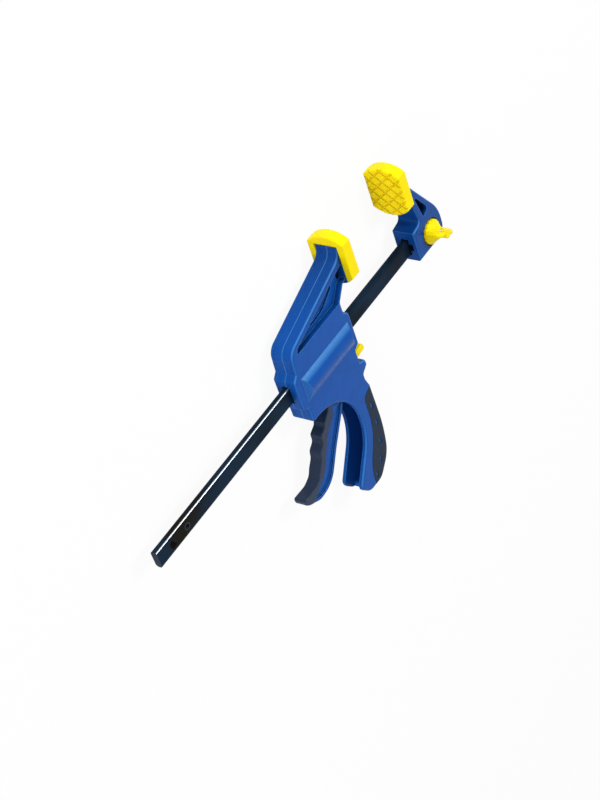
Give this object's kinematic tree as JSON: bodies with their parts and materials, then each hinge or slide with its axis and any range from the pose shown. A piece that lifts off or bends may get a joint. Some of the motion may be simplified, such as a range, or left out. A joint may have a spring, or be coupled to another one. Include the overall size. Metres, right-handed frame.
{
  "type": "quick release bar clamp",
  "caption": "One-handed bar clamp with a sliding pistol-grip jaw, squeeze trigger, release tab, soft pads and a fixed jaw held by a wing knob.",
  "frame": {"origin": "centre of the hanging hole in the tail of the bar, halfway through the bar's thickness", "axes": "+X along the bar towards the fixed jaw, +Y from the bar towards the jaw pads, +Z out of the side that carries the wing knob"},
  "size_m": [0.3214, 0.1796, 0.0348],
  "materials": {
    "bar_steel": "black oxide flat bar, semi-gloss, brighter on the rounded edges",
    "jaw_nylon": "blue moulded glass-filled nylon, satin",
    "housing_nylon": "blue moulded glass-filled nylon, satin",
    "trigger_nylon": "blue moulded glass-filled nylon, satin",
    "pad_plastic": "yellow soft moulded cap with grooves, matte",
    "knob_plastic": "yellow moulded plastic, satin",
    "grip_rubber": "blue-black soft overmoulding, satin",
    "bush_brass": "turned brass",
    "screw_steel": "zinc plated steel",
    "plate_steel": "hardened plain steel",
    "spring_steel": "spring wire"
  },
  "bodies": {
    "bar": {"bar": "bar_steel"},
    "fixed_jaw": {"fixed_jaw": "jaw_nylon", "fixed_jaw_pad": "pad_plastic", "screw_bush": "bush_brass"},
    "screw": {"clamp_screw": "screw_steel"},
    "knob": {"wing_knob": "knob_plastic"},
    "housing": {"housing": "housing_nylon", "side_cover": "housing_nylon", "cover_screws": "screw_steel", "handle_grip": "grip_rubber", "sliding_jaw_pad": "pad_plastic", "trigger_pin": "screw_steel", "drive_spring": "spring_steel", "brake_spring": "spring_steel"},
    "trigger": {"trigger": "trigger_nylon", "trigger_grip": "grip_rubber"},
    "drive_plates": {"drive_plate_rear": "plate_steel", "drive_plate_front": "plate_steel"},
    "brake": {"brake_lever": "plate_steel", "release_button": "knob_plastic"}
  },
  "joints": [
    {"name": "jaw_slide", "type": "slide", "parent": "bar", "child": "housing", "axis": [1, 0, 0], "range_m": [-0.1119, 0.0587]},
    {"name": "trigger_squeeze", "type": "hinge", "parent": "housing", "child": "trigger", "pos_m": [0.16653, -0.024, 0], "axis": [0, 0, 1], "range_deg": [0, 28]},
    {"name": "plate_travel", "type": "slide", "parent": "housing", "child": "drive_plates", "axis": [1, 0, 0], "range_m": [-0.00567, 0], "stiffness_N_per_m": 1200, "springref_m": 0.006, "deforming": ["drive_spring"]},
    {"name": "release_press", "type": "hinge", "parent": "housing", "child": "brake", "pos_m": [0.18302, 0.0096, 0], "axis": [0, 0, 1], "range_deg": [-5, 0], "stiffness_Nm_per_rad": 0.2, "springref_deg": 5.73, "deforming": ["brake_spring"]},
    {"name": "fixed_jaw_slide", "type": "slide", "parent": "bar", "child": "fixed_jaw", "axis": [1, 0, 0], "range_m": [0, 0.027]},
    {"name": "screw_travel", "type": "slide", "parent": "fixed_jaw", "child": "screw", "axis": [0, 0, 1], "range_m": [0, 0.0015]},
    {"name": "wing_knob_turn", "type": "hinge", "parent": "screw", "child": "knob", "pos_m": [0.2934, 0, 0], "axis": [0, 0, 1], "range_deg": [0, 540]}
  ],
  "couplings": [
    {"joint": "trigger_squeeze", "follows": "plate_travel", "rad_per_m": -86.2},
    {"joint": "wing_knob_turn", "follows": "screw_travel", "rad_per_m": 6283.2}
  ]
}
